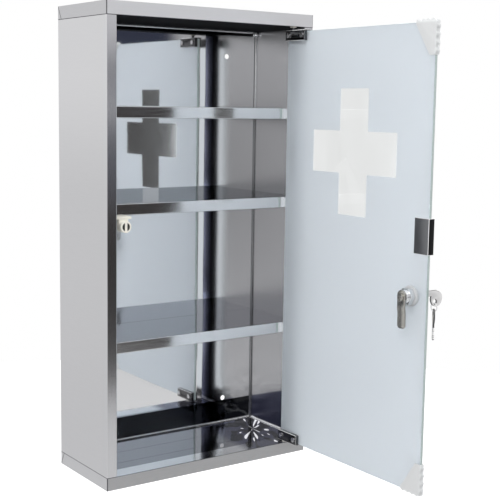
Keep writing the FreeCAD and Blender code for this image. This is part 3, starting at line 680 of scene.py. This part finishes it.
def merged_copy(node, name, bevel=0.0):
    shape = bmesh.new()
    shape.from_mesh(frame["nodes"][node].data)
    bmesh.ops.remove_doubles(shape, verts=shape.verts, dist=SAME_POINT)
    bmesh.ops.dissolve_limit(shape, angle_limit=FLAT_ANGLE, verts=shape.verts, edges=shape.edges)
    if bevel:
        hard = [edge for edge in shape.edges
                if len(edge.link_faces) == 2 and edge.calc_face_angle(0.0) > HARD_ANGLE]
        bmesh.ops.bevel(shape, geom=hard, offset=bevel, segments=2, profile=0.5, affect="EDGES",
                        clamp_overlap=True)
    return new_piece(name, mesh_from(shape, name))


def settle(piece, node, slot, body):
    piece.data.materials.clear()
    piece.data.materials.append(finishes[slot])
    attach(piece, body)
    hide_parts(node)
    print(piece.name, "stands for", node, "with", len(piece.data.polygons), "faces")


pane = merged_copy("door_glass", "pane", bevel=PANE_BEVEL)
for corner in pane.data.vertices:
    if corner.co.x < PANE_LOW.x + SAME_PLANE:
        corner.co.x += FROST_GAP
settle(pane, "door_glass", "glass_clear", "door")
pane.data.materials.append(make_glass_edge())
for side in pane.data.polygons:
    side.material_index = 0 if abs(side.normal.x) > FACE_ON_GLASS else 1
frosting = merged_copy("frost_layer", "frosting")
settle(frosting, "frost_layer", "glass_frosted", "door")

# %% [markdown]
# No stamped or moulded edge is truly sharp, and a narrow bevel that catches the light says so. The small
# parts are copies of their solids with every hard edge broken by a few tenths of a millimetre.

# %% Broken edges on the small parts
slot_of = {entry["node"]: entry["material_slot"] for entry in frame["record"]["subparts"]}
body_of = {node: body for body, nodes in frame["record"]["behaviour"]["bodies"].items() for node in nodes}
BROKEN_EDGES = {
    "hinge_clamp_top": 0.9, "hinge_clamp_bottom": 0.9, "strike_clip": 0.45, "lock_nut": 0.5, "lock_cam": 0.35,
    "cam_screw": 0.35, "key_in_lock": 0.3, "spare_key": 0.3, "catch_body": 0.5, "corner_guard_top": 0.4,
    "corner_guard_bottom": 0.4, "lock_washer": 0.5, "lock_barrel": 0.4,
}
broken = {}
for node, width in BROKEN_EDGES.items():
    broken[node] = merged_copy(node, node + "_broken", bevel=width * MM)
    settle(broken[node], node, slot_of[node], body_of[node])

# %% [markdown]
# Some of these edges look different from their faces. The rims of the hinge clamps and the strike get a
# painted highlight, and the strike's narrow front a painted black reflection. The keys' outlines get a
# painted shade, and the spare key's flat faces a darker copy of the key's nickel, also a painted shade. A
# second finish goes on by the way a face looks.

# %% Painted highlights and shade on rims and outlines
FACE_ON = 0.97
SPARE_TURN = math.radians(140.0)


def paint_sides(piece, finish, index, chosen):
    piece.data.materials.append(finish)
    for side in piece.data.polygons:
        if chosen(side.normal):
            side.material_index = index


def slanted(normal):
    return max(abs(part) for part in normal) < FACE_ON


rim_painted_highlight = new_finish("rim_painted_highlight", base_color=(0.9, 0.9, 0.91, 1.0), roughness=0.3)[0]
front_painted_black = new_finish("front_painted_black", base_color=(0.004, 0.004, 0.005, 1.0), roughness=0.5,
                         specular_ior_level=0.15)[0]
outline_painted_shade = make_plate("outline_painted_shade", (0.09, 0.09, 0.09), 0.3, 0.4)
nickel_painted_shade = make_plate("nickel_painted_shade", (0.34, 0.33, 0.31), 0.3, 0.4)
for node in ("hinge_clamp_top", "hinge_clamp_bottom", "strike_clip"):
    paint_sides(broken[node], rim_painted_highlight, 1, slanted)
paint_sides(broken["strike_clip"], front_painted_black, 2, lambda normal: normal.y < -FACE_ON)
paint_sides(broken["key_in_lock"], outline_painted_shade, 1, lambda normal: abs(normal.y) < FACE_ON)
spare_flat = Matrix.Rotation(SPARE_TURN, 3, "Z") @ Vector((1.0, 0.0, 0.0))
paint_sides(broken["spare_key"], nickel_painted_shade, 1, lambda normal: abs(normal.dot(spare_flat)) >= FACE_ON)
paint_sides(broken["spare_key"], outline_painted_shade, 2, lambda normal: abs(normal.dot(spare_flat)) < FACE_ON)
print("rims and outlines: 5 pieces")

# %% [markdown]
# The corners of the inside are welded. A weld is a little rougher than the sheet. The upright ones at the
# back are bright only above the upper shelf, where light reaches them, and painted dark below it, with a
# painted shade line along the back. The ones along the back of the floor and the ceiling get a darker
# copy of the weld, a painted shade.

# %% Welds
WELD_ROUGHNESS = 0.22
SHADED_SIDE = 0.7 * MM
UPPER_SHELF_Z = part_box("shelf_upper")[1].z
WELD_COLOUR, WELD_PAINTED_SHADE_COLOUR, WELD_DARK_COLOUR = (0.9, 0.9, 0.91), (0.4, 0.4, 0.41), (0.26, 0.26, 0.265)


def make_weld(name, colour, roughness=WELD_ROUGHNESS):
    finish, tree, shader = steel_shader(name, colour)
    shader.inputs["Roughness"].default_value = roughness
    return finish, tree, shader


def make_weld_shaded(name, bright, dark):
    finish, tree, shader = make_weld(name, dark)
    _, y, z = object_axes(tree)
    lit = both(tree, above(tree, z, UPPER_SHELF_Z), below(tree, y, BACK_Y - SHADED_SIDE))
    tree.links.new(layered(tree, (*dark, 1.0), ((lit, bright),)), shader.inputs["Base Color"])
    return finish


weld_bright = make_weld("weld_bright", WELD_COLOUR)[0]
weld_painted_shade = make_weld("weld_painted_shade", WELD_PAINTED_SHADE_COLOUR)[0]
weld_shaded = make_weld_shaded("weld_shaded", WELD_COLOUR, WELD_DARK_COLOUR)
print("welds:", weld_bright.name, weld_painted_shade.name, weld_shaded.name)

# %% [markdown]
# Where the back meets the walls and the floor, the sheet turns with a small radius. A flat mirror corner
# would vanish, but a bend gathers the whole room into one line. Each bend is a hollow quarter round, drawn
# as a section and stretched from one end of its corner to the other.

# %% Bends in the inside corners
BEND_RADIUS = 3.0 * MM
BEND_STEPS = 8
INNER_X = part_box("back_panel")[1].x
INNER_Y = BACK_Y
INNER_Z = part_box("ceiling_panel")[0].z


def corner_bend(name, start, end, first, second, finish):
    """A hollow quarter round between two walls that face along first and second."""
    first, second = Vector(first), Vector(second)
    section = [Vector((0.0, 0.0, 0.0))]
    for step in range(BEND_STEPS + 1):
        angle = 0.5 * math.pi * step / BEND_STEPS
        section.append(BEND_RADIUS * (first * (1.0 - math.sin(angle)) + second * (1.0 - math.cos(angle))))
    shape = bmesh.new()
    ends = [[shape.verts.new(Vector(place) + point) for point in section] for place in (start, end)]
    count = len(section)
    for index in range(count):
        after = (index + 1) % count
        shape.faces.new((ends[0][index], ends[0][after], ends[1][after], ends[1][index]))
    shape.faces.new(ends[0])
    shape.faces.new(ends[1])
    bmesh.ops.recalc_face_normals(shape, faces=shape.faces)
    piece = new_piece(name, mesh_from(shape, name))
    piece.data.materials.append(finish)
    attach(piece, "cabinet")


for side, way in (("left", -1.0), ("right", 1.0)):
    corner_bend("bend_back_" + side, (way * INNER_X, INNER_Y, -INNER_Z), (way * INNER_X, INNER_Y, INNER_Z),
                (-way, 0.0, 0.0), (0.0, -1.0, 0.0), weld_shaded)
    corner_bend("bend_floor_" + side, (way * INNER_X, FRONT_Y + 2.0 * SKIN, -INNER_Z),
                (way * INNER_X, INNER_Y, -INNER_Z), (-way, 0.0, 0.0), (0.0, 0.0, 1.0), weld_bright)
for level, way in (("floor", -1.0), ("ceiling", 1.0)):
    corner_bend(f"bend_{level}_back", (-INNER_X, INNER_Y, way * INNER_Z), (INNER_X, INNER_Y, way * INNER_Z),
                (0.0, -1.0, 0.0), (0.0, 0.0, -way), weld_painted_shade)
print("bends: 6, radius", BEND_RADIUS)

# %% [markdown]
# Where three sheets meet at the top of the back right corner, the welder stopped and left a bead. A small
# polished ball, sunk a little into the sheets, is all that shows of it.

# %% Weld bead
BEAD_RADIUS = 3.4 * MM
BEAD_OUT, BEAD_DOWN = 3.2 * MM, 4.2 * MM
BEAD_COLOUR, BEAD_ROUGHNESS = (0.96, 0.96, 0.97), 0.05
bead_shape = bmesh.new()
bmesh.ops.create_uvsphere(bead_shape, u_segments=24, v_segments=12, radius=BEAD_RADIUS)
bead_mesh = mesh_from(bead_shape, "weld_bead")
bead_mesh.transform(Matrix.Translation((INNER_X - BEAD_OUT, INNER_Y - BEAD_OUT, INNER_Z - BEAD_DOWN)))
bead = new_piece("weld_bead", bead_mesh)
bead_mesh.materials.append(make_weld("weld_polished", BEAD_COLOUR, BEAD_ROUGHNESS)[0])
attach(bead, "cabinet")
print("weld bead faces:", len(bead_mesh.polygons))

# %% [markdown]
# Geometry Nodes suit what repeats. Every tree here sets one shape on a row of points, so three helpers do
# what the trees share. The first opens a tree with named inputs for its sizes, the second ends it with real
# copies in one finish, and the third runs it once and keeps a plain mesh, because the export drops
# instances.

# %% Helpers for Geometry Nodes
COUNT = "NodeSocketInt"


def open_tree(name, sizes):
    tree = bpy.data.node_groups.new(name, "GeometryNodeTree")
    ids = {}
    for label, kind, value in sizes:
        socket = tree.interface.new_socket(label, in_out="INPUT", socket_type=kind)
        socket.default_value = value
        ids[label] = socket.identifier
    ids["Finish"] = tree.interface.new_socket("Finish", in_out="INPUT",
                                              socket_type="NodeSocketMaterial").identifier
    tree.interface.new_socket("Geometry", in_out="OUTPUT", socket_type="NodeSocketGeometry")
    return tree, ids, tree.nodes.new("NodeGroupInput").outputs


def close_tree(tree, given, instances):
    spread = add(tree, "GeometryNodeInstanceOnPoints", instances)
    whole = add(tree, "GeometryNodeRealizeInstances", {"Geometry": spread.outputs["Instances"]})
    painted = add(tree, "GeometryNodeSetMaterial", {"Geometry": whole.outputs["Geometry"],
                                                    "Material": given["Finish"]})
    end = tree.nodes.new("NodeGroupOutput")
    tree.links.new(painted.outputs["Geometry"], end.inputs["Geometry"])


def bake_tree(name, tree, ids, values, turn):
    """Run a tree once, keep its mesh, and turn that mesh into place."""
    holder = bpy.data.objects.new(name + "_holder", bpy.data.meshes.new(name + "_holder"))
    bpy.context.scene.collection.objects.link(holder)
    modifier = holder.modifiers.new(name, "NODES")
    modifier.node_group = tree
    for key, value in values.items():
        modifier[ids[key]] = value
    ready = holder.evaluated_get(bpy.context.evaluated_depsgraph_get())
    mesh = bpy.data.meshes.new_from_object(ready)
    bpy.data.objects.remove(holder)
    mesh.transform(turn)
    piece = bpy.data.objects.new(name, mesh)
    bpy.context.scene.collection.objects.link(piece)
    return piece


print("tree helpers: open_tree, close_tree, bake_tree")

# %% [markdown]
# The lock's barrel is threaded where the nut runs. A thread this fine reads as a row of ridges, so a
# Geometry Nodes tree sweeps one ridge round the barrel and repeats it along the barrel. The sizes are
# named inputs, and the result is baked to a plain mesh that rides on the door.

# %% Thread ridges by Geometry Nodes
def ridge_tree():
    tree, ids, given = open_tree("Thread ridges", [("Radius", FLOAT, 0.008), ("Ridge", FLOAT, 0.0002),
                                                   ("Pitch", FLOAT, 0.001), ("Turns", COUNT, 4)])
    ring = add(tree, "GeometryNodeCurvePrimitiveCircle", {"Radius": given["Radius"], "Resolution": 48})
    section = add(tree, "GeometryNodeCurvePrimitiveCircle", {"Radius": given["Ridge"], "Resolution": 6})
    ridge = add(tree, "GeometryNodeCurveToMesh", {"Curve": ring.outputs["Curve"],
                                                  "Profile Curve": section.outputs["Curve"]})
    step = add(tree, "ShaderNodeCombineXYZ", {"Z": given["Pitch"]})
    row = add(tree, "GeometryNodeMeshLine", {"Count": given["Turns"], "Offset": step.outputs["Vector"]})
    close_tree(tree, given, {"Points": row.outputs["Mesh"], "Instance": ridge.outputs["Mesh"]})
    return tree, ids


barrel_low, barrel_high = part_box("lock_barrel")
nut_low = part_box("lock_nut")[0]
barrel_axis = (barrel_low + barrel_high) / 2
BARREL_RADIUS = 8.4 * MM
RIDGE = 0.22 * MM
PITCH = 1.0 * MM
FIRST_RIDGE = 0.6 * PITCH
turns = int((nut_low.x - barrel_low.x) / PITCH)
thread_start = Matrix.Translation((barrel_low.x + FIRST_RIDGE, barrel_axis.y, barrel_axis.z))
ridges, ridge_ids = ridge_tree()
thread = bake_tree("barrel_thread", ridges, ridge_ids,
                   {"Radius": BARREL_RADIUS, "Ridge": RIDGE, "Pitch": PITCH, "Turns": turns,
                    "Finish": finishes["chrome_lock"]},
                   thread_start @ Matrix.Rotation(math.radians(90.0), 4, "Y"))
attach(thread, "door")
print("thread ridges:", turns, "faces:", len(thread.data.polygons))

# %% [markdown]
# A key's blade is cut into teeth of uneven height. A second tree sets a row of small four-sided prisms
# along the blade's edge, each with its own size from a fixed seed.

# %% Key cuts by Geometry Nodes
def cuts_tree():
    tree, ids, given = open_tree("Key cuts", [("Cuts", COUNT, 6), ("Spacing", FLOAT, 0.002),
                                              ("Size", FLOAT, 0.001), ("Thickness", FLOAT, 0.002),
                                              ("Seed", COUNT, 4)])
    tooth = add(tree, "GeometryNodeMeshCylinder", {"Vertices": 4, "Radius": given["Size"],
                                                   "Depth": given["Thickness"]})
    step = add(tree, "ShaderNodeCombineXYZ", {"X": given["Spacing"]})
    row = add(tree, "GeometryNodeMeshLine", {"Count": given["Cuts"], "Offset": step.outputs["Vector"]})
    uneven = add(tree, "FunctionNodeRandomValue", {"Min": (0.7, 0.5, 1.0), "Max": (1.1, 1.0, 1.0),
                                                   "Seed": given["Seed"]}, data_type="FLOAT_VECTOR")
    close_tree(tree, given, {"Points": row.outputs["Mesh"], "Instance": tooth.outputs["Mesh"],
                             "Scale": uneven.outputs["Value"]})
    return tree, ids


spare_low, spare_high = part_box("spare_key")
spare_axis = (spare_low + spare_high) / 2
BLADE_HALF = 3.5 * MM
CUT_COUNT, CUT_SPACING, CUT_SIZE, CUT_THICKNESS, CUT_SEED = 6, 2.3 * MM, 1.1 * MM, 1.8 * MM, 4
# The key hangs turned about its own length. Its blade's edge runs down along Z.
blade_turn = Matrix.Rotation(SPARE_TURN, 4, "Z")
edge_down = Matrix(((0.0, 0.0, 1.0, 0.0), (0.0, 1.0, 0.0, BLADE_HALF),
                    (-1.0, 0.0, 0.0, 0.0), (0.0, 0.0, 0.0, 1.0)))
first_cut = Matrix.Translation((spare_axis.x, spare_axis.y, spare_low.z + CUT_COUNT * CUT_SPACING))
cuts, cut_ids = cuts_tree()
teeth = bake_tree("spare_key_cuts", cuts, cut_ids,
                  {"Cuts": CUT_COUNT, "Spacing": CUT_SPACING, "Size": CUT_SIZE, "Thickness": CUT_THICKNESS,
                   "Seed": CUT_SEED, "Finish": finishes["nickel_key"]}, first_cut @ blade_turn @ edge_down)
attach(teeth, "spare")
print("key cuts:", CUT_COUNT, "faces:", len(teeth.data.polygons))

# %% [markdown]
# The floor is pale and well below the cabinet, since the cabinet hangs on a wall. It ends before it can
# brighten the dark half of the room that the polished steel mirrors. It glows a little, and more where the
# camera sees it, so that it runs into the white backdrop without an edge.

# %% Floor
FLOOR_Z = -0.95
FLOOR_RADIUS = 3.3
FLOOR_COLOUR = (0.6, 0.6, 0.6, 1.0)
floor_shape = bmesh.new()
bmesh.ops.create_circle(floor_shape, cap_ends=True, segments=96, radius=FLOOR_RADIUS)
floor_mesh = mesh_from(floor_shape, "floor")
floor_mesh.transform(Matrix.Translation((0.0, 0.0, FLOOR_Z)))
floor = bpy.data.objects.new("floor", floor_mesh)
bpy.context.scene.collection.objects.link(floor)
pale, pale_tree, pale_shader = new_finish("pale_floor", base_color=FLOOR_COLOUR, emission_color=WHITE,
                                          roughness=0.9)
glow = add(pale_tree, "ShaderNodeMapRange", {"Value": first_seen(pale_tree), "To Min": 0.2, "To Max": 0.75})
pale_tree.links.new(glow.outputs["Result"], pale_shader.inputs["Emission Strength"])
floor_mesh.materials.append(pale)
print("floor at", FLOOR_Z, "m, radius", FLOOR_RADIUS, "m")

# %% [markdown]
# Polished steel shows the room, so the room is designed: a white backdrop behind, a white wall to the
# left, grey around the camera with one dark spot where it stands, and darkness to the front right, which
# gives the mirrored cross and the jamb their depth. Each row below is a lobe of light or dark: its
# direction, the cosines where it starts and where it is full, and its colour. The camera itself sees plain
# white.

# %% Studio room
ROOM_GREY = (0.5, 0.5, 0.51, 1.0)
ROOM_LOBES = (
    ((0.507, -0.859, -0.07), 0.966, 0.9945, (0.045, 0.041, 0.04)),
    ((0.0, 0.0, 1.0), -0.01, 0.13, (0.8, 0.8, 0.82)),
    ((0.48, -0.875, 0.06), 0.9985, 0.9993, (0.04, 0.045, 0.07)),
    ((-1.0, -0.2, 0.1), 0.5, 0.9, (0.85, 0.85, 0.86)),
    ((-0.5, -0.866, -0.06), 0.9945, 0.9985, (0.05, 0.04, 0.04)),
    ((1.0, 0.3, 0.1), 0.3, 0.75, (0.94, 0.94, 0.94)),
    ((0.0, 1.0, 0.0), -0.05, 0.3, (0.86, 0.86, 0.86)),
)


def room_world():
    world = bpy.data.worlds.new("studio")
    world.use_nodes = True
    tree = world.node_tree
    tree.nodes.clear()
    way = add(tree, "ShaderNodeTexCoord").outputs["Generated"]
    layers = []
    for direction, start, end, colour in ROOM_LOBES:
        toward = add(tree, "ShaderNodeVectorMath", {0: way, 1: Vector(direction).normalized()},
                     operation="DOT_PRODUCT").outputs["Value"]
        layers.append((smooth_step(tree, toward, start, end), colour))
    room = add(tree, "ShaderNodeBackground", {"Color": layered(tree, ROOM_GREY, layers), "Strength": 1.0})
    white = add(tree, "ShaderNodeBackground", {"Color": WHITE, "Strength": 1.0})
    seen = add(tree, "ShaderNodeMixShader", {0: first_seen(tree), 1: room.outputs["Background"],
                                             2: white.outputs["Background"]})
    add(tree, "ShaderNodeOutputWorld", {"Surface": seen.outputs["Shader"]})
    return world


bpy.context.scene.world = room_world()
print("room lobes:", len(ROOM_LOBES))

# %% [markdown]
# Two large soft lights fill in what the room does not: one high on the left for the brushed wall and the
# door, one overhead. Large lights keep every highlight soft.

# %% Soft lights
def soft_light(name, place, target, size, power):
    lamp = bpy.data.lights.new(name, "AREA")
    lamp.shape = "DISK"
    lamp.size = size
    lamp.energy = power
    holder = bpy.data.objects.new(name, lamp)
    holder.location = place
    holder.rotation_euler = (Vector(target) - Vector(place)).to_track_quat("-Z", "Y").to_euler()
    bpy.context.scene.collection.objects.link(holder)
    print(name, "of", power, "W,", size, "m across")


soft_light("key_light", place=(-1.5, -1.2, 1.7), target=(0.1, -0.2, 0.0), size=1.4, power=26.0)
soft_light("top_light", place=(0.2, -0.6, 2.0), target=(0.0, -0.1, 0.0), size=1.2, power=12.0)

# %% [markdown]
# The camera stands where the photographer stood. Its place and lens were found by fitting the cabinet's
# corners, so the axes below are the camera's own right, up and forward directions.

# %% Camera
EYE = Vector((-775.71, -1298.883, 179.722)) * MM
RIGHT = Vector((0.81545, -0.578621, 0.015451))
UP = Vector((0.06339, 0.115806, 0.991247))
FORWARD = Vector((0.575346, 0.807333, -0.131113))
SENSOR = 36.0
FOCAL_PIXELS = 1095.66
PICTURE_PIXELS = 500.0

lens = bpy.data.cameras.new("camera")
lens.sensor_width = SENSOR
lens.lens = FOCAL_PIXELS * SENSOR / PICTURE_PIXELS
camera = bpy.data.objects.new("camera", lens)
turn = Matrix((RIGHT, UP, -FORWARD)).transposed().to_4x4()
camera.matrix_world = Matrix.Translation(EYE) @ turn
bpy.context.scene.collection.objects.link(camera)
bpy.context.scene.camera = camera
bpy.context.scene.view_settings.view_transform = "Standard"
print("lens:", round(lens.lens, 2), "mm")
